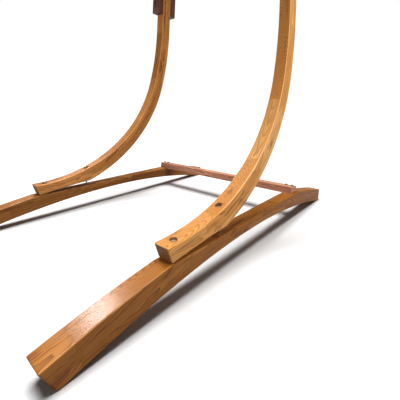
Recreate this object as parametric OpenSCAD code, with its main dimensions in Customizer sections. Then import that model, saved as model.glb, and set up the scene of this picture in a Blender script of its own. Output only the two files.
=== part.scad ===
// Two-arm curved stand for a hammock or a hanging seat, in laminated timber.
// +X is the stand's right side, +Y its back, +Z up. The origin is on the floor, midway along the base.

/* [Stand] */
// Distance between the middles of the two side frames
frame_spacing = 1000; // [800:10:1200]
// Length of a base beam along the floor
base_length = 1620; // [1500:10:1800]
// Height of the arch under a base beam
arch_rise = 88; // [60:2:110]
// Angle of the back ends of the base beams and of the feet from upright
end_undercut = 21; // [15:1:25]
// Angle of the front ends of the base beams from upright
front_undercut = 32; // [20:1:34]
// Depth planed off the underside of the beam ends, so that they stand flat
heel_cut = 5; // [3:0.5:8]

/* [Timber] */
// Width of a base beam
beam_w = 68; // [60:1:80]
// Depth of a base beam
beam_h = 70; // [64:1:84]
// Width of an arm and of its splice plates
arm_w = 64; // [56:1:68]
// Depth of an arm
arm_t = 74; // [66:1:82]
// Radius of the long edges of the crossbars and splice plates
edge_r = 4; // [2:0.5:6]

/* [Arms] */
// Distance from the middle of the base forward to the front of the foot
foot_reach = 482; // [450:1:500]
// Height of the arm's middle line at the front of the foot
foot_height = 140; // [136:1:144]
// Slope of the arm's middle line at the front of the foot
foot_slope = -1.1; // [-3:0.1:0.5]
// Radius of the lower bend
lower_bend_r = 860; // [820:5:920]
// Slope where the lower bend eases off
lower_bend_slope = 74; // [70:1:78]
// Radius of the slack bend behind the seat
back_bend_r = 1800; // [1500:20:2200]
// Slope of the straight stretch that holds the splice
back_slope = 87; // [84:0.5:89]
// Length of arm between the slack bend and the splice's joint
arm_end_straight = 292; // [240:2:340]
// Length of the upper arm between the joint and the top bend
upper_straight = 185; // [180:1:240]
// Radius of the top bend
top_bend_r = 480; // [420:5:560]
// Length of the level tip in front of the top bend
tip_length = 230; // [190:5:300]

/* [Splice] */
// Length of a splice plate
plate_length = 340; // [320:2:350]
// Thickness of a splice plate
plate_t = 50; // [40:1:60]
// Distances of the splice bolts from the joint, on each side
splice_bolt_places = [50, 100];

/* [Crossbars] */
// Thickness of the rear crossbar
rear_bar_t = 38; // [30:1:45]
// Depth of the rear crossbar, from front to back
rear_bar_d = 66; // [56:1:76]
// How far the rear crossbar is let into the base beams
rear_bar_housing = 8; // [4:1:12]
// Distance from the middle of the base back to the middle of the rear crossbar
rear_bar_place = 455; // [420:5:560]
// How far the rear crossbar stops short of the outer faces of the base beams
rear_bar_inset = 14; // [5:1:20]
// Depth of the top crossbeam, from front to back
top_beam_d = 72; // [64:1:90]
// Height of the top crossbeam
top_beam_h = 72; // [64:1:90]
// How far the top crossbeam is let over the arm tips
top_beam_notch = 10; // [6:1:16]
// How far the top crossbeam runs past each arm
top_beam_overhang = 60; // [30:5:120]

/* [Hardware] */
// Distances of the two foot bolts from the front of the foot
foot_bolt_places = [58, 291];
// Diameter of the frame bolts
bolt_d = 10; // [8:1:12]
// Width across flats of the frame bolts' heads and nuts
bolt_flats = 17; // [15:1:19]
// Diameter of the recesses for the frame bolts
recess_d = 26; // [25:0.5:30]
// Depth of the recesses for the frame bolts
recess_depth = 15; // [14:0.5:17]
// Diameter of the crossbar screws
screw_d = 8; // [6:1:10]
// Distance between the two screws at each end of the rear crossbar
screw_spacing = 34; // [24:1:36]
// Distance between the two hanging eyes
eye_spacing = 700; // [500:10:800]
// Diameter of the eye bolt's shank
eye_shank_d = 12; // [10:1:14]
// Diameter of the eye's round bar
eye_bar_d = 12; // [10:1:12]
// Inside diameter of the eye
eye_hole_d = 32; // [30:1:40]
// Diameter of the snap hook's round bar
hook_bar_d = 10; // [8:1:10]
// Outside length of the snap hook
hook_length = 110; // [100:1:130]
// Outside width of the snap hook
hook_width = 46; // [44:1:50]

/* [Hidden] */
$fn = 72;

// Colours
oiled_wood = "#b87333";
dark_wood = "#8a5238";
pale_wood = "#b9805e";
zinc = "#c4c6c8";
steel = "#9fa3a6";

// Clearances and small standard sizes
hole_gap = 0.5;
thread_gap = 0.05;
notch_gap = 0.3;
link_gap = 0.3;
washer_t = 2;
washer_gap = 1;
head_height = 6.4;
nut_height = 8.4;
bolt_past_nut = 3;
bolt_washer_d = recess_d - 2;

// How far cutting shapes and touching pieces run past a surface
cut_past = 20;
overlap = 1;
// How far the outlines run on, in degrees, before their ends are cut
foot_run_on = 6;
beam_run_on = 2;
// Steps of the outlines: points along an edge, and degrees along a bend and along a beam
edge_steps = 4;
bend_step = 2;
beam_step = 1;

// Base beam: an arc about an axis that lies below the floor
beam_under_r = (pow(base_length / 2, 2) + pow(arch_rise, 2)) / (2 * arch_rise);
beam_top_r = beam_under_r + beam_h;
beam_axis_z = arch_rise - beam_under_r - heel_cut;
beam_half_angle = asin(base_length / 2 / beam_under_r);
// Height at which a back end cut meets the top of the beam; the front end cut meets it at the same height
end_run = base_length / 2 * tan(end_undercut) - beam_axis_z;
end_rest = pow(base_length / 2, 2) + pow(beam_axis_z, 2) - pow(beam_top_r, 2);
beam_end_z = (sqrt(pow(end_run, 2) - end_rest / pow(cos(end_undercut), 2)) - end_run) * pow(cos(end_undercut), 2);
beam_end_y = base_length / 2 + beam_end_z * tan(end_undercut);

// The arm's middle line, as points [y, z] and the centres of its bends
function arc_end(p, r, s0, s1) = p + r * [sin(s1) - sin(s0), cos(s0) - cos(s1)];
function arc_centre(p, r, s) = p + r * [-sin(s), cos(s)];
function ahead(p, s, d) = p + d * [cos(s), sin(s)];
foot_start = [-foot_reach, foot_height];
lower_centre = arc_centre(foot_start, lower_bend_r, foot_slope);
lower_end = arc_end(foot_start, lower_bend_r, foot_slope, lower_bend_slope);
back_centre = arc_centre(lower_end, back_bend_r, lower_bend_slope);
back_end = arc_end(lower_end, back_bend_r, lower_bend_slope, back_slope);
joint = ahead(back_end, back_slope, arm_end_straight);
top_bend_start = ahead(joint, back_slope, upper_straight);
top_centre = arc_centre(top_bend_start, top_bend_r, back_slope);
tip_start = arc_end(top_bend_start, top_bend_r, back_slope, 180);
tip_end = ahead(tip_start, 180, tip_length);
tip_top_z = tip_start[1] + arm_t / 2;

// Points along an arc, both ends included, no more than step degrees apart
function arc_points(c, r, a0, a1, step) =
    let (n = ceil(abs(a1 - a0) / step))
    [for (i = [0 : n]) c + r * [cos(a0 + (a1 - a0) * i / n), sin(a0 + (a1 - a0) * i / n)]];
function rest(list) = [for (i = [1 : len(list) - 1]) list[i]];
function backwards(list) = [for (i = [len(list) - 1 : -1 : 0]) list[i]];
function beside(p, slope, d) = p + d * [sin(slope), -cos(slope)];

// The lines that run d to the outside of the arms' middle lines
function lower_arm_line(d) = concat(
    arc_points(lower_centre, lower_bend_r + d, foot_slope - 90 - foot_run_on, lower_bend_slope - 90, bend_step),
    rest(arc_points(back_centre, back_bend_r + d, lower_bend_slope - 90, back_slope - 90, bend_step)),
    [beside(joint, back_slope, d)]);
function upper_arm_line(d) = concat(
    [beside(joint, back_slope, d)],
    arc_points(top_centre, top_bend_r + d, back_slope - 90, 90, bend_step),
    [beside(tip_end, 180, d)]);
function beam_line(r) = arc_points([0, beam_axis_z], r,
    90 - beam_half_angle - beam_run_on, 90 + beam_half_angle + beam_run_on, beam_step);

// Foot bolts: each runs along a radius of the base beam
foot_bolt_angles = [for (place = foot_bolt_places) asin((foot_reach - place) / beam_top_r)];
// Distance from the beam's axis to the arm's upper face along a radius
function arm_top_r(a) =
    let (to = lower_centre - [0, beam_axis_z], b = to * [-sin(a), cos(a)])
    b - sqrt(b * b - to * to + pow(lower_bend_r - arm_t / 2, 2));
function foot_seat_r(a) = arm_top_r(a) - recess_depth;
foot_nut_r = beam_under_r + recess_depth;

// Rear crossbar: it lies along the slope of the beams
rear_bar_angle = -asin(rear_bar_place / beam_top_r);
rear_bar_length = frame_spacing + beam_w - 2 * rear_bar_inset;
rear_bar_under_r = beam_top_r - rear_bar_housing;
screw_bite = 50;
screw_length = rear_bar_t + screw_bite;
screw_head_flats = 1.6 * screw_d;
screw_head_height = 0.65 * screw_d;
screw_washer_d = 2.4 * screw_d;

// Top crossbeam and the hanging eyes
tip_past_beam = 20;
top_beam_y = tip_end[0] + tip_past_beam + top_beam_d / 2;
top_beam_under_z = tip_top_z - top_beam_notch;
top_beam_top_z = top_beam_under_z + top_beam_h;
top_beam_length = frame_spacing + arm_w + 2 * top_beam_overhang;
eye_ring_r = (eye_hole_d + eye_bar_d) / 2;
eye_neck = 16;
eye_z = top_beam_under_z - washer_t - eye_neck - eye_ring_r;
eye_collar_d = eye_shank_d + 8;
eye_collar_t = 5;
eye_recess_d = recess_d + 6;
eye_washer_d = eye_recess_d - 2;
eye_seat_z = top_beam_top_z - recess_depth - washer_t;
eye_nut_height = 10;
eye_flats = 19;

// Snap hook: its top bow passes through the eye, and turns on the straight stretch in its middle.
// The heights below hook_pivot_z are measured from there.
bow_straight = 8;
hook_half_width = (hook_width - hook_bar_d) / 2;
bow_corner_r = hook_half_width - bow_straight / 2;
hook_pivot_z = eye_z - eye_hole_d / 2 + hook_bar_d / 2 + link_gap;
hook_top_centre = -bow_corner_r;
hook_low_centre = bow_corner_r + hook_bar_d - hook_length;
gate_bar_d = hook_bar_d - 2;
gate_pivot = hook_low_centre + 0.75 * gate_bar_d;
gate_foot = gate_pivot - gate_bar_d / 2;
gate_top = hook_top_centre - gate_bar_d;
gate_tab_t = 4;
gate_tab_rise = gate_bar_d / 2;
gate_slot_rise = gate_bar_d;
gate_pin_d = 3;
gate_pin_gap = 0.06;

// Turns a drawing in [y, z] into a solid that runs along X
module side_view() {
    rotate([90, 0, 90]) children();
}

function corner(cx, cy, a0, r) =
    [for (i = [0 : edge_steps]) [cx + r * cos(a0 + 90 * i / edge_steps), cy + r * sin(a0 + 90 * i / edge_steps)]];
function rounded_section(t, w, r) = concat(
    corner(t / 2 - r, w / 2 - r, 0, r), corner(r - t / 2, w / 2 - r, 90, r),
    corner(r - t / 2, r - w / 2, 180, r), corner(t / 2 - r, r - w / 2, 270, r));

// A board of width w whose [y, z] outline lies between two lines that run the same way
module bent_board(inner, outer, w) {
    translate([-w / 2, 0, 0])
        side_view()
            linear_extrude(w)
                polygon(concat(outer, backwards(inner)));
}

// Places its children on a radius of the base beam, with Z pointing outwards
module on_beam_radius(angle, r) {
    translate([0, 0, beam_axis_z])
        rotate([angle, 0, 0])
            translate([0, 0, r])
                children();
}

// Places its children at the splice's joint, with Z along the arm and Y to the back
module at_joint() {
    translate([0, joint[0], joint[1]])
        rotate([back_slope - 90, 0, 0])
            children();
}

// Repeats its children on both side frames, or places them on one
module on_side(side) {
    translate([side * frame_spacing / 2, 0, 0]) children();
}
module both_sides() {
    for (side = [-1, 1]) on_side(side) children();
}

module hexagon(flats, height) {
    cylinder(d = flats / cos(30), h = height, $fn = 6);
}

// A bolt whose head sits on z = 0, with its shank running down
module hex_bolt(d, length, flats = bolt_flats, head = head_height) {
    hexagon(flats, head);
    translate([0, 0, -length]) cylinder(d = d, h = length + overlap);
}

// A washer that lies on z = 0
module washer(d, outer) {
    difference() {
        cylinder(d = outer, h = washer_t);
        translate([0, 0, -overlap]) cylinder(d = d + washer_gap, h = washer_t + 2 * overlap);
    }
}

// A nut that lies on z = 0
module nut(d, flats, height) {
    difference() {
        hexagon(flats, height);
        translate([0, 0, -overlap]) cylinder(d = d + 2 * thread_gap, h = height + 2 * overlap);
    }
}

// The hole for a bolt along Z, with a recess above z = top and another below z = bottom
module bolt_hole(bottom, top, d = bolt_d, recess = recess_d) {
    translate([0, 0, bottom - cut_past]) cylinder(d = d + 2 * hole_gap, h = top - bottom + 2 * cut_past);
    translate([0, 0, top]) cylinder(d = recess, h = 3 * cut_past);
    translate([0, 0, bottom - 3 * cut_past]) cylinder(d = recess, h = 3 * cut_past);
}

module foot_bolt_holes() {
    for (a = foot_bolt_angles)
        on_beam_radius(a, 0) bolt_hole(foot_nut_r, foot_seat_r(a));
}

// ---- Timber ----

// Keeps what lies between the two undercut ends and above the floor
module between_ends() {
    height = 2 * beam_end_z;
    bent_board(
        [for (z = [0, height]) [-beam_end_y - (z - beam_end_z) * tan(front_undercut), z]],
        [for (z = [0, height]) [beam_end_y + (z - beam_end_z) * tan(end_undercut), z]],
        2 * beam_w);
}

module base_beam(side) {
    color(oiled_wood) on_side(side) difference() {
        intersection() {
            bent_board(beam_line(beam_under_r), beam_line(beam_top_r), beam_w);
            between_ends();
        }
        foot_bolt_holes();
        rear_bar_housing_cut(side);
        crossbar_screw_holes(side);
    }
}

// The flat seat for the rear crossbar: it stops where the crossbar ends, inside the outer face
module rear_bar_housing_cut(side) {
    inner = -side * (beam_w / 2 + cut_past);
    outer = side * (beam_w / 2 - rear_bar_inset + notch_gap);
    on_beam_radius(rear_bar_angle, rear_bar_under_r)
        translate([min(inner, outer), -rear_bar_d / 2 - notch_gap, 0])
            cube([abs(outer - inner), rear_bar_d + 2 * notch_gap, rear_bar_t]);
}

// The foot is cut to lie on the curved top of the base beam
module lower_arm(side) {
    color(oiled_wood) on_side(side) difference() {
        bent_board(lower_arm_line(-arm_t / 2), lower_arm_line(arm_t / 2), arm_w);
        bent_board(beam_line(beam_under_r - beam_h), beam_line(beam_top_r), 2 * beam_w);
        foot_end_cut();
        foot_bolt_holes();
        at_joint() splice_bolt_holes();
    }
}

// Takes off everything in front of the foot's undercut end
module foot_end_cut() {
    translate([0, -foot_reach, foot_height + arm_t / 2])
        rotate([end_undercut, 0, 0])
            translate([-beam_w, -3 * arm_t, -3 * arm_t])
                cube([2 * beam_w, 3 * arm_t, 6 * arm_t]);
}

module upper_arm(side) {
    color(oiled_wood) on_side(side) difference() {
        bent_board(upper_arm_line(-arm_t / 2), upper_arm_line(arm_t / 2), arm_w);
        at_joint() splice_bolt_holes();
        tip_bolt_hole();
    }
}

module splice_bolt_holes() {
    reach = arm_t / 2 + plate_t - recess_depth;
    for (z = splice_bolt_places, up = [-1, 1])
        translate([0, 0, up * z])
            rotate([90, 0, 0])
                bolt_hole(-reach, reach);
}

// facing is -1 for the front plate and 1 for the rear one
module splice_plate(side, facing) {
    color(dark_wood) on_side(side) at_joint() difference() {
        translate([0, facing * (arm_t + plate_t) / 2, -plate_length / 2])
            linear_extrude(plate_length)
                polygon(rounded_section(arm_w, plate_t, edge_r));
        splice_bolt_holes();
    }
}

module rear_crossbar() {
    color(pale_wood) difference() {
        on_beam_radius(rear_bar_angle, rear_bar_under_r + rear_bar_t / 2)
            rotate([90, 0, 90])
                translate([0, 0, -rear_bar_length / 2])
                    linear_extrude(rear_bar_length)
                        polygon(rounded_section(rear_bar_d, rear_bar_t, edge_r / 2));
        for (side = [-1, 1]) on_side(side) crossbar_screw_holes(side);
    }
}

// Places its children at the top of each crossbar screw of one side
module at_crossbar_screws(side) {
    for (x = [-1, 1])
        on_beam_radius(rear_bar_angle, rear_bar_under_r + rear_bar_t)
            translate([x * screw_spacing / 2 - side * rear_bar_inset / 2, 0, 0])
                children();
}

module crossbar_screw_holes(side) {
    at_crossbar_screws(side)
        translate([0, 0, -screw_length])
            cylinder(d = screw_d + 2 * thread_gap, h = screw_length + cut_past);
}

module top_crossbeam() {
    color(oiled_wood) difference() {
        translate([-top_beam_length / 2, top_beam_y, (top_beam_under_z + top_beam_top_z) / 2])
            rotate([90, 0, 90])
                linear_extrude(top_beam_length)
                    polygon(rounded_section(top_beam_d, top_beam_h, edge_r));
        both_sides() {
            translate([-arm_w / 2 - notch_gap, top_beam_y - top_beam_d, top_beam_under_z - cut_past])
                cube([arm_w + 2 * notch_gap, 2 * top_beam_d, cut_past + top_beam_notch]);
            tip_bolt_hole();
        }
        at_eyes() {
            translate([0, 0, top_beam_under_z - overlap])
                cylinder(d = eye_shank_d + 2 * hole_gap, h = top_beam_h + 2 * overlap);
            translate([0, 0, eye_seat_z]) cylinder(d = eye_recess_d, h = cut_past * 2);
        }
    }
}

// ---- Bolts, washers and nuts ----

module foot_bolts() {
    color(zinc) both_sides()
        for (a = foot_bolt_angles)
            on_beam_radius(a, foot_seat_r(a) + washer_t)
                hex_bolt(bolt_d, foot_seat_r(a) - foot_nut_r + 2 * washer_t + nut_height + bolt_past_nut);
}

module foot_washers() {
    color(zinc) both_sides()
        for (a = foot_bolt_angles) {
            on_beam_radius(a, foot_seat_r(a)) washer(bolt_d, bolt_washer_d);
            on_beam_radius(a, foot_nut_r - washer_t) washer(bolt_d, bolt_washer_d);
        }
}

module foot_nuts() {
    color(zinc) both_sides()
        for (a = foot_bolt_angles)
            on_beam_radius(a, foot_nut_r - washer_t - nut_height) nut(bolt_d, bolt_flats, nut_height);
}

// Places its children at each splice bolt, with Z pointing out of the recess on the front or the back
module at_splice_bolts(facing) {
    seat = arm_t / 2 + plate_t - recess_depth;
    both_sides() at_joint()
        for (z = splice_bolt_places, up = [-1, 1])
            translate([0, facing * seat, up * z])
                rotate([-90 * facing, 0, 0])
                    children();
}

module splice_bolts() {
    grip = arm_t + 2 * (plate_t - recess_depth);
    color(zinc) at_splice_bolts(-1)
        translate([0, 0, washer_t])
            hex_bolt(bolt_d, grip + 2 * washer_t + nut_height + bolt_past_nut);
}

module splice_washers() {
    color(zinc) {
        at_splice_bolts(-1) washer(bolt_d, bolt_washer_d);
        at_splice_bolts(1) washer(bolt_d, bolt_washer_d);
    }
}

module splice_nuts() {
    color(zinc) at_splice_bolts(1) translate([0, 0, washer_t]) nut(bolt_d, bolt_flats, nut_height);
}

module crossbar_screws() {
    color(steel) for (side = [-1, 1])
        on_side(side) at_crossbar_screws(side)
            translate([0, 0, washer_t]) {
                hexagon(screw_head_flats, screw_head_height);
                translate([0, 0, -screw_length]) cylinder(d = screw_d, h = screw_length + overlap);
            }
}

module crossbar_washers() {
    color(steel) for (side = [-1, 1])
        on_side(side) at_crossbar_screws(side) washer(screw_d, screw_washer_d);
}

// Places its children on the axis of a tip bolt
module at_tip_bolt(z) {
    translate([0, top_beam_y, z]) children();
}

module tip_bolt_hole() {
    at_tip_bolt(0) bolt_hole(tip_top_z - arm_t + recess_depth, top_beam_top_z - recess_depth);
}

module tip_bolts() {
    top = top_beam_top_z - recess_depth;
    bottom = tip_top_z - arm_t + recess_depth;
    color(zinc) both_sides() at_tip_bolt(top + washer_t)
        hex_bolt(bolt_d, top - bottom + 2 * washer_t + nut_height + bolt_past_nut);
}

module tip_washers() {
    color(zinc) both_sides() {
        at_tip_bolt(top_beam_top_z - recess_depth) washer(bolt_d, bolt_washer_d);
        at_tip_bolt(tip_top_z - arm_t + recess_depth - washer_t) washer(bolt_d, bolt_washer_d);
    }
}

module tip_nuts() {
    color(zinc) both_sides()
        at_tip_bolt(tip_top_z - arm_t + recess_depth - washer_t - nut_height) nut(bolt_d, bolt_flats, nut_height);
}

// ---- Hanging eyes and snap hooks ----

module at_eye(side) {
    translate([side * eye_spacing / 2, top_beam_y, 0]) children();
}
module at_eyes() {
    for (side = [-1, 1]) at_eye(side) children();
}

// Places its children where a snap hook turns in its eye
module at_hook(side) {
    at_eye(side) translate([0, 0, hook_pivot_z]) children();
}

module eye_bolt(side) {
    shank_bottom = eye_z + eye_ring_r;
    shank_top = eye_seat_z + washer_t + eye_nut_height + bolt_past_nut;
    color(zinc) at_eye(side) {
        translate([0, 0, eye_z])
            side_view()
                rotate_extrude() translate([eye_ring_r, 0]) circle(d = eye_bar_d, $fn = 48);
        translate([0, 0, shank_bottom]) cylinder(d = eye_shank_d, h = shank_top - shank_bottom);
        translate([0, 0, top_beam_under_z - washer_t - eye_collar_t]) cylinder(d = eye_collar_d, h = eye_collar_t);
    }
}

module eye_washers() {
    color(zinc) at_eyes() {
        translate([0, 0, top_beam_under_z - washer_t]) washer(eye_shank_d, eye_washer_d);
        translate([0, 0, eye_seat_z]) washer(eye_shank_d, eye_washer_d);
    }
}

module eye_nuts() {
    color(zinc) at_eyes()
        translate([0, 0, eye_seat_z + washer_t]) nut(eye_shank_d, eye_flats, eye_nut_height);
}

// A quarter ring of the snap hook's round bar in the XZ plane, from angle start up to a quarter turn on
module bow_corner(start) {
    rotate([90, 0, 0])
        rotate([0, 0, start])
            rotate_extrude(angle = 90)
                translate([bow_corner_r, 0])
                    circle(d = hook_bar_d, $fn = 48);
}

// Half of the snap hook's outline: up is 1 for the top bow and -1 for the bottom one
module bow(up) {
    for (side = [-1, 1])
        translate([side * bow_straight / 2, 0, 0])
            bow_corner(up > 0 ? 45 - side * 45 : 225 + side * 45);
    translate([-bow_straight / 2, 0, up * bow_corner_r])
        rotate([0, 90, 0])
            cylinder(d = hook_bar_d, h = bow_straight, $fn = 48);
}

// The snap hook's bent bar: open on its right side, where the gate closes it
module hook(side) {
    color(zinc) at_hook(side) difference() {
        union() {
            translate([0, 0, hook_top_centre]) bow(1);
            translate([0, 0, hook_low_centre]) bow(-1);
            translate([-hook_half_width, 0, hook_low_centre])
                cylinder(d = hook_bar_d, h = hook_top_centre - hook_low_centre, $fn = 48);
            translate([hook_half_width, 0, gate_top + link_gap])
                cylinder(d = hook_bar_d, h = hook_top_centre - gate_top - link_gap, $fn = 48);
            translate([hook_half_width - gate_bar_d / 2, -gate_tab_t / 2, hook_low_centre - overlap])
                cube([gate_bar_d, gate_tab_t, gate_pivot + gate_tab_rise - hook_low_centre + overlap]);
        }
        gate_pin_hole();
    }
}

module gate_pin_hole() {
    translate([hook_half_width, 0, gate_pivot])
        rotate([90, 0, 0])
            cylinder(d = gate_pin_d + 2 * gate_pin_gap, h = 2 * hook_bar_d, center = true);
}

// The gate: a round bar, forked at its foot over the hook's tab
module hook_gate(side) {
    color(steel) at_hook(side) difference() {
        translate([hook_half_width, 0, gate_foot])
            cylinder(d = gate_bar_d, h = gate_top - gate_foot, $fn = 48);
        translate([hook_half_width - gate_bar_d, -gate_tab_t / 2 - link_gap, gate_foot - overlap])
            cube([2 * gate_bar_d, gate_tab_t + 2 * link_gap, gate_pivot + gate_slot_rise - gate_foot + overlap]);
        gate_pin_hole();
    }
}

module gate_pin(side) {
    color(steel) at_hook(side)
        translate([hook_half_width, 0, gate_pivot])
            rotate([90, 0, 0])
                cylinder(d = gate_pin_d, h = gate_bar_d - 1, center = true);
}

base_beam(-1);  // base_beam_left
base_beam(1);  // base_beam_right
lower_arm(-1);  // lower_arm_left
lower_arm(1);  // lower_arm_right
upper_arm(-1);  // upper_arm_left
upper_arm(1);  // upper_arm_right
splice_plate(-1, -1);  // splice_plate_front_left
splice_plate(1, -1);  // splice_plate_front_right
splice_plate(-1, 1);  // splice_plate_rear_left
splice_plate(1, 1);  // splice_plate_rear_right
rear_crossbar();
top_crossbeam();
foot_bolts();
foot_washers();
foot_nuts();
splice_bolts();
splice_washers();
splice_nuts();
crossbar_screws();
crossbar_washers();
tip_bolts();
tip_washers();
tip_nuts();
eye_bolt(-1);  // eye_bolt_left
eye_bolt(1);  // eye_bolt_right
eye_washers();
eye_nuts();
hook(-1);  // hook_left
hook(1);  // hook_right
hook_gate(-1);  // hook_gate_left
hook_gate(1);  // hook_gate_right
gate_pin(-1);  // gate_pin_left
gate_pin(1);  // gate_pin_right
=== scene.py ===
"""The looks of a timber stand for a hammock or hanging seat: oiled larch and zinc-plated fittings."""
from math import asin, cos, radians, sin

import bmesh
import bpy
from mathutils import Euler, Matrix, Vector


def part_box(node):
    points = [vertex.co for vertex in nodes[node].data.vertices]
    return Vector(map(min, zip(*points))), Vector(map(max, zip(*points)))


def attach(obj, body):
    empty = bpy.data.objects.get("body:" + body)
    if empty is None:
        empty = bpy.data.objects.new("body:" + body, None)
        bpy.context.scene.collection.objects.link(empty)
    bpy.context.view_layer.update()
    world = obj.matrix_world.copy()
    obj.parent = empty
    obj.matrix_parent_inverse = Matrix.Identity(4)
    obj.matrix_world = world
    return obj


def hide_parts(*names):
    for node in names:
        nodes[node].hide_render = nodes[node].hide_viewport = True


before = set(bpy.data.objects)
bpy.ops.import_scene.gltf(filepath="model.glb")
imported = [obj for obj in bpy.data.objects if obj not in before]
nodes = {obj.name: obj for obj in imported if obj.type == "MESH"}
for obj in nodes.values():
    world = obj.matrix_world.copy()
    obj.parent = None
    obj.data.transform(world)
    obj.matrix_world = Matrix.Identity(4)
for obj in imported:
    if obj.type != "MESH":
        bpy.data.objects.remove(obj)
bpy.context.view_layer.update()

# ---- Driving dimensions of the stand, in metres ----

BASE_LENGTH = 1.62
ARCH_RISE = 0.088
HEEL_CUT = 0.005
BEAM_H = 0.070
ARM_T = 0.074
FOOT_REACH = 0.482
FOOT_HEIGHT = 0.140
FOOT_SLOPE = radians(-1.1)
LOWER_BEND_R = 0.860
LOWER_BEND_SLOPE = radians(74)
BACK_BEND_R = 1.800
BACK_SLOPE = radians(87)
ARM_END_STRAIGHT = 0.292
UPPER_STRAIGHT = 0.185
TOP_BEND_R = 0.480
LEVEL_SLOPE = radians(180)
TIP_LENGTH = 1.0

BEAM_UNDER_R = ((BASE_LENGTH / 2) ** 2 + ARCH_RISE**2) / (2 * ARCH_RISE)
BEAM_TOP_R = BEAM_UNDER_R + BEAM_H
BEAM_AXIS_Z = ARCH_RISE - BEAM_UNDER_R - HEEL_CUT


# ---- Shader sums ----

class Value:
    """A number that changes over a surface: sums written with it become shader nodes."""

    def __init__(self, tree, socket):
        self.tree = tree
        self.socket = socket

    def math(self, operation, *others):
        node = self.tree.nodes.new("ShaderNodeMath")
        node.operation = operation
        for slot, value in zip(node.inputs, (self, *others)):
            connect(self.tree, value, slot)
        return Value(self.tree, node.outputs[0])

    def __add__(self, other):
        return self.math("ADD", other)

    def __sub__(self, other):
        return self.math("SUBTRACT", other)

    def __mul__(self, other):
        return self.math("MULTIPLY", other)

    def __truediv__(self, other):
        return self.math("DIVIDE", other)

    def __gt__(self, other):
        return self.math("GREATER_THAN", other)

    def floor(self):
        return self.math("FLOOR")

    def part(self):
        """What is left above the whole number below."""
        return self.math("FRACT")

    def size(self):
        return self.math("ABSOLUTE")

    def power(self, exponent):
        return self.math("POWER", exponent)

    def between(self, low, high):
        """0 below low, 1 above high, and a smooth rise between them."""
        node = self.tree.nodes.new("ShaderNodeMapRange")
        node.interpolation_type = "SMOOTHSTEP"
        connect(self.tree, self, node.inputs["Value"])
        node.inputs["From Min"].default_value = low
        node.inputs["From Max"].default_value = high
        return Value(self.tree, node.outputs["Result"])


def connect(tree, value, slot):
    if isinstance(value, Value):
        tree.links.new(value.socket, slot)
    elif isinstance(value, bpy.types.NodeSocket):
        tree.links.new(value, slot)
    else:
        slot.default_value = value


def choose(first, second, use_second):
    """first, or second where use_second is 1."""
    return first + (second - first) * use_second


def vector(tree, x, y, z):
    node = tree.nodes.new("ShaderNodeCombineXYZ")
    for value, slot in zip((x, y, z), node.inputs):
        connect(tree, value, slot)
    return node.outputs[0]


def noise(tree, place, detail=2.0, roughness=0.5, distortion=0.0):
    """A smooth random number at each place, about 0.5 in the middle of its range."""
    node = tree.nodes.new("ShaderNodeTexNoise")
    connect(tree, place, node.inputs["Vector"])
    node.inputs["Scale"].default_value = 1.0
    node.inputs["Detail"].default_value = detail
    node.inputs["Roughness"].default_value = roughness
    node.inputs["Distortion"].default_value = distortion
    return Value(tree, node.outputs["Fac"])


def dice(tree, x, y, z):
    """Three random numbers, the same all over a cell whose whole numbers are x, y and z."""
    white = tree.nodes.new("ShaderNodeTexWhiteNoise")
    white.noise_dimensions = "3D"
    connect(tree, vector(tree, x, y, z), white.inputs["Vector"])
    split = tree.nodes.new("ShaderNodeSeparateColor")
    tree.links.new(white.outputs["Color"], split.inputs[0])
    return [Value(tree, out) for out in split.outputs]


def blend(tree, low, high, amount, kind="MIX"):
    """A colour from low to high by amount, from 0 to 1."""
    node = tree.nodes.new("ShaderNodeMix")
    node.data_type = "RGBA"
    node.blend_type = kind
    connect(tree, amount, node.inputs["Factor"])
    connect(tree, low, node.inputs["A"])
    connect(tree, high, node.inputs["B"])
    return node.outputs["Result"]


# ---- Paths of the members: how far along, and how far out from the middle line ----

def on_straight(y, z, start, slope):
    along = (y - start[0]) * cos(slope) + (z - start[1]) * sin(slope)
    out = (y - start[0]) * sin(slope) - (z - start[1]) * cos(slope)
    return along, out


def on_bend(y, z, start, radius, slopes):
    """Measures round a bend that starts at a point and turns from one slope to another."""
    centre = bend_centre(start, radius, slopes[0])
    middle = (slopes[0] + slopes[1]) / 2
    ahead = (y - centre[0]) * cos(middle) + (z - centre[1]) * sin(middle)
    outward = (y - centre[0]) * sin(middle) - (z - centre[1]) * cos(middle)
    turned = ahead.math("ARCTAN2", outward)
    along = (turned + (middle - slopes[0])) * radius
    out = (ahead * ahead + outward * outward).power(0.5) - radius
    return along, out


def bend_centre(start, radius, slope):
    return start[0] - radius * sin(slope), start[1] + radius * cos(slope)


def bend_end(start, radius, slopes):
    centre = bend_centre(start, radius, slopes[0])
    return centre[0] + radius * sin(slopes[1]), centre[1] - radius * cos(slopes[1])


def straight_end(start, length, slope):
    return start[0] + length * cos(slope), start[1] + length * sin(slope)


FOOT_START = (-FOOT_REACH, FOOT_HEIGHT)
LOWER_SLOPES = (FOOT_SLOPE, LOWER_BEND_SLOPE)
BACK_SLOPES = (LOWER_BEND_SLOPE, BACK_SLOPE)
TOP_SLOPES = (BACK_SLOPE, LEVEL_SLOPE)
LOWER_END = bend_end(FOOT_START, LOWER_BEND_R, LOWER_SLOPES)
BACK_END = bend_end(LOWER_END, BACK_BEND_R, BACK_SLOPES)
JOINT = straight_end(BACK_END, ARM_END_STRAIGHT, BACK_SLOPE)
TOP_BEND_START = straight_end(JOINT, UPPER_STRAIGHT, BACK_SLOPE)
TIP_START = bend_end(TOP_BEND_START, TOP_BEND_R, TOP_SLOPES)


def joined(stretches):
    """One path from several stretches, each (along, out, length): the next one takes over where one ends."""
    along, out, length = stretches[0]
    covered = length
    for next_along, next_out, next_length in stretches[1:]:
        past = next_along > 0
        along = choose(along, next_along + covered, past)
        out = choose(out, next_out, past)
        covered += next_length
    return along, out


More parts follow.
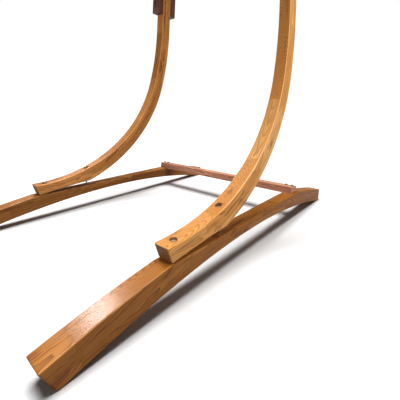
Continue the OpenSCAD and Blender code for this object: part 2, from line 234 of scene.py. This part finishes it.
def beam_path(y, z):
    """Along the arch from the middle of the base, and out from the arch's middle line."""
    up = z - BEAM_AXIS_Z
    along = y.math("ARCTAN2", up) * BEAM_TOP_R
    out = (y * y + up * up).power(0.5) - (BEAM_TOP_R - BEAM_H / 2)
    return along, out


def lower_arm_path(y, z):
    lower_length = LOWER_BEND_R * (LOWER_SLOPES[1] - LOWER_SLOPES[0])
    back_length = BACK_BEND_R * (BACK_SLOPES[1] - BACK_SLOPES[0])
    return joined([
        (*on_bend(y, z, FOOT_START, LOWER_BEND_R, LOWER_SLOPES), lower_length),
        (*on_bend(y, z, LOWER_END, BACK_BEND_R, BACK_SLOPES), back_length),
        (*on_straight(y, z, BACK_END, BACK_SLOPE), ARM_END_STRAIGHT),
    ])


def upper_arm_path(y, z):
    top_length = TOP_BEND_R * (TOP_SLOPES[1] - TOP_SLOPES[0])
    return joined([
        (*on_straight(y, z, JOINT, BACK_SLOPE), UPPER_STRAIGHT),
        (*on_bend(y, z, TOP_BEND_START, TOP_BEND_R, TOP_SLOPES), top_length),
        (*on_straight(y, z, TIP_START, LEVEL_SLOPE), TIP_LENGTH),
    ])


def splice_path(y, z):
    return on_straight(y, z, JOINT, BACK_SLOPE)


def follows(path, middle):
    """The grain of a member that follows a path in the plane x = middle: along, out, side."""
    def grain(x, y, z):
        along, out = path(y, z)
        return along, out, x - middle
    return grain


def runs_across(low, high, slope=0.0):
    """The grain of a straight crossbar that fills a box and is tilted by slope."""
    def grain(x, y, z):
        side, out = on_straight(y, z, ((low[1] + high[1]) / 2, (low[2] + high[2]) / 2), slope)
        return x, out, side
    return grain


# ---- Wood ----

# Laminations, the boards in them and the rings in the boards, in metres
LAYER_T = 0.0245
BOARD_LENGTH = 0.36
FINGER_PITCH = 0.009
FINGER_LENGTH = 0.007
RING_SPACING = 0.0046
PITH_BELOW_BOARD = 0.016
PITH_SPREAD = 0.05
PITH_WANDER = 0.022

# How steeply a board may lie across its pith, how far the joints of a layer are shifted in boards,
# how far rings wander in rings, and how sharply each one darkens
BOARD_SLOPE = 0.42
LAYER_SHIFT = 5.0
RING_WANDER = 2.2
LATE_SHARPNESS = 2.6

# Keeps the random numbers of a layer apart from those of its boards
LAYER_DRAW = 3.0

# Noise scales: along the grain and across it
SLOW_DRIFT = (3.0, 6.0)
RING_DRIFT = (9.0, 20.0)
FIBRES = (9.0, 520.0)
STREAKS = (5.0, 110.0)
PATCHES = (5.0, 26.0)
CLOUDS = (3.0, 12.0)

BUMP_STRENGTH = 0.40
BUMP_DEPTH = 0.0007
OIL_SPECULAR = 0.08
OIL_COAT = 0.30
OIL_COAT_ROUGHNESS = 0.20

# The light, middle and dark colours of each timber
BROWN = ((0.45, 0.180, 0.038, 1), (0.30, 0.104, 0.014, 1), (0.095, 0.027, 0.003, 1))
HONEY = ((0.88, 0.46, 0.150, 1), (0.65, 0.275, 0.058, 1), (0.25, 0.078, 0.011, 1))
RUSSET = ((0.80, 0.350, 0.095, 1), (0.56, 0.215, 0.048, 1), (0.19, 0.057, 0.010, 1))
MAUVE = ((0.23, 0.104, 0.064, 1), (0.145, 0.060, 0.037, 1), (0.060, 0.021, 0.012, 1))
PINKISH = ((0.72, 0.345, 0.21, 1), (0.54, 0.230, 0.130, 1), (0.22, 0.074, 0.034, 1))
SAP_STREAK = (0.085, 0.022, 0.006, 1)
RED_PATCH = (0.165, 0.040, 0.012, 1)

# Stains and painted shade: a colour and its strength
END_GRAIN = ((0.105, 0.062, 0.038, 1), 0.80)
# Painted shade: the walls of the bolt recesses and bores, darkened far below their end grain as if shade
# fell inside them
RECESS_SHADE = ((0.030, 0.014, 0.006, 1), 0.80)
NO_STAIN = ((0.0, 0.0, 0.0, 1), 0.0)


def grain_noise(tree, place, scales, shift, detail, roughness=0.5, distortion=0.0):
    """Noise drawn out along the grain; shift moves it along, out and to the side."""
    along, out, side = place
    lengthways, across = scales
    spot = vector(tree, along * lengthways + shift[0], out * across + shift[1], side * across + shift[2])
    return noise(tree, spot, detail, roughness, distortion)


def laminations(tree, place, seed):
    """The layer of a point, its place counted in boards, and its board's three random numbers."""
    along, out, side = place
    layer = (out / LAYER_T + 0.5).floor()
    layer_shift = dice(tree, layer, seed, LAYER_DRAW)[0]
    teeth = ((side / FINGER_PITCH).part() - 0.5).size() * (2 * FINGER_LENGTH)
    board_at = (along + teeth) / BOARD_LENGTH + layer_shift * LAYER_SHIFT
    return layer, board_at, dice(tree, layer, board_at.floor(), seed)


def late_wood(tree, place, seed, layer, board_at, offset, tilt):
    """The dark part of the growth rings, which run about each board's own pith."""
    out, side = place[1:]
    slow = grain_noise(tree, place, SLOW_DRIFT, (0.0, 0.0, seed), 2.0)
    wander = grain_noise(tree, place, RING_DRIFT, (seed, 0.0, 0.0), 2.0)
    rise = (tilt - 0.5) * BOARD_SLOPE
    from_side = side - (offset - 0.5) * PITH_SPREAD + (slow - 0.5) * PITH_WANDER
    from_out = out - layer * LAYER_T + (board_at.part() - 0.5) * rise * BOARD_LENGTH + PITH_BELOW_BOARD
    ring = (from_side * from_side + from_out * from_out).power(0.5) / RING_SPACING + wander * RING_WANDER
    return ring.part().power(LATE_SHARPNESS)


def edge_wear_and_highlight(place, half_side, half_out, cloud):
    """1 in uneven stretches along the long edges, where the oil has rubbed thin; the lightening there is
    also a painted highlight along the rounded edges.
    """
    out, side = place[1:]
    to_edge = (side.size() * -1.0 + half_side).math("MAXIMUM", out.size() * -1.0 + half_out)
    return to_edge.between(0.0050, 0.0012) * cloud.between(0.30, 0.60)


def wood(name, seed, grain, half_side, half_out, tones, stain_and_shade=NO_STAIN):
    """Oiled laminated larch in three tones, with end-grain staining on the foot ends and painted shade on
    the hole walls laid over them.
    """
    material = bpy.data.materials.new(name)
    material.use_nodes = True
    tree = material.node_tree
    shader = tree.nodes["Principled BSDF"]
    place = grain(*object_place(tree))
    layer, board_at, (tone, offset, tilt) = laminations(tree, place, seed)
    late = late_wood(tree, place, seed, layer, board_at, offset, tilt)

    # Fibres, dark streaks, reddish patches and broad clouds of colour
    fibre = grain_noise(tree, place, FIBRES, (0.0, 0.0, seed), 3.0, 0.6)
    streak = grain_noise(tree, place, STREAKS, (0.0, seed, 0.0), 2.0).between(0.60, 0.72)
    patch = grain_noise(tree, place, PATCHES, (seed * 3.1, 0.0, 0.0), 3.0, 0.55, 0.4).between(0.60, 0.68)
    cloud = grain_noise(tree, place, CLOUDS, (0.0, 0.0, seed * 1.7), 2.0)

    # Glue lines between the layers, finger joints between the boards, and rubbed edges that also carry a
    # painted highlight
    glue = ((place[1] / LAYER_T).part() - 0.5).size().between(0.040, 0.015)
    finger = (board_at.part() - 0.5).size().between(0.4970, 0.4990)
    wear_and_highlight = edge_wear_and_highlight(place, half_side, half_out, cloud)

    # Each overlay: its colour, where it lies and how strong it is
    light, middle, dark = tones
    body = blend(tree, middle, light, tone + cloud * 0.9 - 0.50)
    overlays = (
        (dark, late, 0.75),
        (dark, fibre.between(0.50, 0.80), 0.38),
        (SAP_STREAK, streak, 0.45),
        (RED_PATCH, patch, 0.70),
        (dark, glue, 0.40),
        (dark, finger, 0.35),
        # Rubbed edges, lightened further as a painted highlight along the rounded edges
        (light, wear_and_highlight, 0.85),
    )
    for colour, where, strength in overlays:
        body = blend(tree, body, colour, where * strength)
    # End-grain staining on the foot ends, and painted shade on the walls of the recesses and bores
    body = blend(tree, body, *stain_and_shade)
    connect(tree, body, shader.inputs["Base Color"])

    # Satin oil: the dense late wood shines a little more
    gloss = fibre * 0.16 + cloud * 0.12 - late * 0.08 + 0.30
    connect(tree, gloss, shader.inputs["Roughness"])
    shader.inputs["Specular IOR Level"].default_value = OIL_SPECULAR
    shader.inputs["Coat Weight"].default_value = OIL_COAT if stain_and_shade is NO_STAIN else 0.0
    shader.inputs["Coat Roughness"].default_value = OIL_COAT_ROUGHNESS
    height = late * 0.40 + fibre * 0.45 - streak * 0.5 - glue * 0.8 - finger * 0.5
    add_bump(tree, shader, height, BUMP_STRENGTH, BUMP_DEPTH)
    return material


def object_place(tree):
    """Where a point of a surface is, in the stand's frame."""
    split = tree.nodes.new("ShaderNodeSeparateXYZ")
    tree.links.new(tree.nodes.new("ShaderNodeTexCoord").outputs["Object"], split.inputs[0])
    return [Value(tree, out) for out in split.outputs]


def add_bump(tree, shader, height, strength, distance):
    bump = tree.nodes.new("ShaderNodeBump")
    bump.inputs["Strength"].default_value = strength
    bump.inputs["Distance"].default_value = distance
    connect(tree, height, bump.inputs["Height"])
    for slot in ("Normal", "Coat Normal"):
        tree.links.new(bump.outputs[0], shader.inputs[slot])


# Fittings: colour, least roughness and how far scratches add to it
ZINC = ((0.72, 0.73, 0.74, 1), 0.20, 0.10)
STAINLESS = ((0.62, 0.63, 0.65, 1), 0.22, 0.16)
DARK_ZINC = ((0.30, 0.30, 0.32, 1), 0.28, 0.10)

METAL_CLOUD_SCALE = 70.0
SCRATCHES_ACROSS = 900.0
SCRATCHES_UP = 90.0
DULLED = 0.72
SCRATCH_STRENGTH = 0.12
SCRATCH_DEPTH = 0.0002


def metal(name, colour, roughness, scratch):
    """Plated steel with fine scratches and a cloudy finish."""
    material = bpy.data.materials.new(name)
    material.use_nodes = True
    tree = material.node_tree
    shader = tree.nodes["Principled BSDF"]
    x, y, z = object_place(tree)
    cloud = noise(tree, vector(tree, *(part * METAL_CLOUD_SCALE for part in (x, y, z))), 3.0)
    lines = noise(tree, vector(tree, x * SCRATCHES_ACROSS, y * SCRATCHES_ACROSS, z * SCRATCHES_UP), 3.0, 0.6)
    dull = tuple(DULLED * part for part in colour[:3]) + (1,)
    connect(tree, blend(tree, dull, colour, cloud.between(0.30, 0.62)), shader.inputs["Base Color"])
    shader.inputs["Metallic"].default_value = 1.0
    connect(tree, cloud * 0.18 + lines * scratch + roughness, shader.inputs["Roughness"])
    add_bump(tree, shader, lines, SCRATCH_STRENGTH, SCRATCH_DEPTH)
    return material


# ---- Timber pieces: the CAD members with their long edges and ends rounded ----

ROUNDING = 0.004
HOLE_REACH = 0.0135
WELD = 0.00002
SIDE_DEPTH = 0.0001
SIDE_FACING = 0.99
END_FACING = 0.8
END_HIGHEST = 0.2
END_LEAST_AREA = 0.002
FLAT_ANGLE = 0.001
CORNER_ANGLE = 0.7
SHARP_ANGLE = radians(40)

# The places of a member's materials in its list
LONG_GRAIN, END_WOOD, HOLE_WALL = range(3)


def is_side(face, low, high):
    middle = face.calc_center_median().x
    return abs(face.normal.x) > SIDE_FACING and min(middle - low.x, high.x - middle) < SIDE_DEPTH


def is_foot_end(face):
    """The undercut end of a base beam or of an arm's foot."""
    faces_end = abs(face.normal.y) > END_FACING
    return faces_end and face.calc_center_median().z < END_HIGHEST and face.calc_area() > END_LEAST_AREA


def lines_a_hole(face, middle):
    return all(abs(vert.co.x - middle) < HOLE_REACH for vert in face.verts)


def join_flat_faces(shape, low, high):
    """Takes the needless edges out of the sides and ends, so that their outlines can be rounded."""
    flat = {face for face in shape.faces if is_side(face, low, high) or abs(face.normal.y) > END_FACING}
    inner = [edge for edge in shape.edges if len(edge.link_faces) == 2
             and all(face in flat for face in edge.link_faces) and edge.calc_face_angle() < FLAT_ANGLE]
    bmesh.ops.dissolve_edges(shape, edges=inner, use_verts=False)
    shape.normal_update()


def outer_edges(shape, low, high):
    """The edges where a side or an undercut end meets another face."""
    chosen = []
    for edge in shape.edges:
        kinds = [(is_side(face, low, high), is_foot_end(face)) for face in edge.link_faces]
        if len(kinds) == 2 and kinds[0] != kinds[1] and edge.calc_face_angle() > CORNER_ANGLE:
            chosen.append(edge)
    return chosen


def material_place(face, middle):
    if lines_a_hole(face, middle):
        return HOLE_WALL
    return END_WOOD if is_foot_end(face) else LONG_GRAIN


def rounded_copy(node, rounding, materials):
    low, high = (Vector(corner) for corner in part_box(node))
    shape = bmesh.new()
    shape.from_mesh(nodes[node].data)
    bmesh.ops.remove_doubles(shape, verts=shape.verts, dist=WELD)
    shape.normal_update()
    join_flat_faces(shape, low, high)
    edges = outer_edges(shape, low, high)
    bmesh.ops.bevel(shape, geom=edges, offset=rounding, segments=3, profile=0.5, affect="EDGES")
    shape.normal_update()
    for face in shape.faces:
        face.smooth = True
        face.material_index = material_place(face, (low.x + high.x) / 2)
    bmesh.ops.triangulate(shape, faces=[face for face in shape.faces if len(face.verts) > 4])
    mesh = bpy.data.meshes.new(node + "_timber")
    shape.to_mesh(mesh)
    shape.free()
    mesh.set_sharp_from_angle(angle=SHARP_ANGLE)
    for material in materials:
        mesh.materials.append(material)
    piece = bpy.data.objects.new(node + "_timber", mesh)
    bpy.context.scene.collection.objects.link(piece)
    piece.modifiers.new("flat_faces", "WEIGHTED_NORMAL").keep_sharp = True
    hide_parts(node)
    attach(piece, "stand")


SEEDS = {"left": 11.0, "right": 4.0}

# The materials of a member, in the order of their places; the last one carries the painted shade of the hole
# walls
FINISHES = (("_wood", NO_STAIN), ("_end_wood", END_GRAIN), ("_recess_shade", RECESS_SHADE))


def build_timber():
    members = (
        ("base_beam_", 0.0, beam_path, BEAM_H / 2, {"left": BROWN, "right": BROWN}),
        ("lower_arm_", 21.0, lower_arm_path, ARM_T / 2, {"left": RUSSET, "right": HONEY}),
        ("upper_arm_", 37.0, upper_arm_path, ARM_T / 2, {"left": RUSSET, "right": HONEY}),
    )
    for side, seed in SEEDS.items():
        for stem, shift, path, half_out, tones in members:
            node = stem + side
            low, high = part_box(node)
            grain = follows(path, (low[0] + high[0]) / 2)
            half_side = (high[0] - low[0]) / 2
            looks = [wood(node + suffix, seed + shift, grain, half_side, half_out, tones[side], stain_and_shade)
                     for suffix, stain_and_shade in FINISHES]
            rounded_copy(node, ROUNDING, looks)


def crossbar_slope():
    """The rear crossbar lies along the slope of the base beams."""
    low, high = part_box("rear_crossbar")
    return -asin((low[1] + high[1]) / 2 / BEAM_TOP_R)


# Half sizes of the crossbars to the side and out, and one so large that a plate shows no rubbed edge with
# its painted highlight
REAR_BAR_HALVES = (0.033, 0.019)
TOP_BEAM_HALVES = (0.036, 0.036)
NO_EDGE = 1.0
PLATE_SEED = 5.0
REAR_BAR_SEED = 8.0
TOP_BEAM_SEED = 9.0


def crossbar_look(name, low, high):
    """The wood of a splice plate or crossbar, or None for anything else."""
    look = name + "_wood"
    if name.startswith("splice_plate"):
        grain = follows(splice_path, (low[0] + high[0]) / 2)
        return wood(look, PLATE_SEED, grain, (high[0] - low[0]) / 2, NO_EDGE, MAUVE)
    if name == "rear_crossbar":
        return wood(look, REAR_BAR_SEED, runs_across(low, high, crossbar_slope()), *REAR_BAR_HALVES, PINKISH)
    if name == "top_crossbeam":
        return wood(look, TOP_BEAM_SEED, runs_across(low, high), *TOP_BEAM_HALVES, BROWN)
    return None


def finish_nodes():
    zinc = metal("zinc", *ZINC)
    steel = metal("stainless", *STAINLESS)
    dark_steel = metal("dark_zinc", *DARK_ZINC)
    for name, thing in nodes.items():
        if name.startswith(("base_", "lower_", "upper_")):
            continue
        look = crossbar_look(name, *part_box(name))
        if look is None and name.startswith("crossbar"):
            look = dark_steel
        elif look is None and name.startswith(("hook_gate", "gate_pin")):
            look = steel
        elif look is None:
            look = zinc
        thing.data.materials.clear()
        thing.data.materials.append(look)


build_timber()
finish_nodes()

# ---- Floor, light and camera ----

PALE_FLOOR = (0.95, 0.95, 0.95, 1)
DIM_FLOOR = (0.38, 0.38, 0.38, 1)
FLOOR_REACH = 40.0
FLOOR_ROUGHNESS = 0.9
WHITE = (1.0, 1.0, 1.0, 1)
WORLD_STRENGTH = 0.08

# Suns: the way towards the light, its strength, and its width in degrees
KEY = ((-0.09, 0.03, 1.0), 4.1, 38.0)
WINDOW = ((-0.726, 0.193, 0.660), 1.0, 7.0)

# Panels: their place, what they point at, their power in watts and their size
SIDE_PANEL = ((2.4, 0.3, 1.3), (0.5, 0.3, 0.6), 32.0, 1.0)
FRONT_PANEL = ((-0.2, -2.8, 1.7), (0.2, 0.3, 0.8), 34.0, 1.2)

CAMERA_PLACE = (1.1436, -1.0504, 0.5936)
CAMERA_TURN = 0.7099
SENSOR_WIDTH = 36.0
LENS = 25.66
LENS_SHIFT_UP = -0.235


def build_studio():
    floor_mesh = bpy.data.meshes.new("floor")
    corners = [(FLOOR_REACH * x, FLOOR_REACH * y, 0) for x, y in ((-1, -1), (1, -1), (1, 1), (-1, 1))]
    floor_mesh.from_pydata(corners, [], [(0, 1, 2, 3)])
    floor = bpy.data.objects.new("floor", floor_mesh)
    bpy.context.scene.collection.objects.link(floor)
    look = bpy.data.materials.new("floor")
    look.use_nodes = True
    tree = look.node_tree
    shader = tree.nodes["Principled BSDF"]
    seen = Value(tree, tree.nodes.new("ShaderNodeLightPath").outputs["Is Camera Ray"])
    connect(tree, blend(tree, DIM_FLOOR, PALE_FLOOR, seen), shader.inputs["Base Color"])
    shader.inputs["Roughness"].default_value = FLOOR_ROUGHNESS
    shader.inputs["Specular IOR Level"].default_value = 0.0
    floor_mesh.materials.append(look)


def add_sun(name, towards_light, strength, angle):
    light = bpy.data.lights.new(name, "SUN")
    light.energy = strength
    light.angle = radians(angle)
    lamp = bpy.data.objects.new(name, light)
    lamp.rotation_mode = "QUATERNION"
    lamp.rotation_quaternion = Vector(towards_light).to_track_quat("Z", "Y")
    bpy.context.scene.collection.objects.link(lamp)
    return lamp


def add_panel(name, place, target, power, size):
    light = bpy.data.lights.new(name, "AREA")
    light.energy = power
    light.size = size
    lamp = bpy.data.objects.new(name, light)
    lamp.location = place
    lamp.rotation_mode = "QUATERNION"
    lamp.rotation_quaternion = (Vector(place) - Vector(target)).to_track_quat("Z", "Y")
    bpy.context.scene.collection.objects.link(lamp)
    return lamp


def spare_the_floor(lamp):
    """Keeps a lamp's light off the floor, so that the key light alone makes the shadows."""
    unlit = bpy.data.collections.new(lamp.name + "_leaves_out")
    unlit.objects.link(bpy.data.objects["floor"])
    unlit.collection_objects[0].light_linking.link_state = "EXCLUDE"
    lamp.light_linking.receiver_collection = unlit


def build_light():
    """A faint even light that looks white to the camera, two suns and two panels."""
    world = bpy.data.worlds.new("studio")
    world.use_nodes = True
    tree = world.node_tree
    soft = tree.nodes["Background"]
    soft.inputs["Color"].default_value = WHITE
    soft.inputs["Strength"].default_value = WORLD_STRENGTH
    white = tree.nodes.new("ShaderNodeBackground")
    white.inputs["Color"].default_value = WHITE
    seen = tree.nodes.new("ShaderNodeLightPath")
    mix = tree.nodes.new("ShaderNodeMixShader")
    tree.links.new(seen.outputs["Is Camera Ray"], mix.inputs[0])
    tree.links.new(soft.outputs[0], mix.inputs[1])
    tree.links.new(white.outputs[0], mix.inputs[2])
    tree.links.new(mix.outputs[0], tree.nodes["World Output"].inputs[0])
    bpy.context.scene.world = world
    add_sun("key", *KEY)
    spare_the_floor(add_sun("window", *WINDOW))
    spare_the_floor(add_panel("side", *SIDE_PANEL))
    spare_the_floor(add_panel("front", *FRONT_PANEL))


def build_camera():
    data = bpy.data.cameras.new("camera")
    data.sensor_width = SENSOR_WIDTH
    data.lens = LENS
    data.shift_y = LENS_SHIFT_UP
    camera = bpy.data.objects.new("camera", data)
    camera.location = CAMERA_PLACE
    camera.rotation_euler = Euler((radians(90), 0, CAMERA_TURN))
    bpy.context.scene.collection.objects.link(camera)
    bpy.context.scene.camera = camera


build_studio()
build_light()
build_camera()
bpy.context.scene.view_settings.view_transform = "Standard"
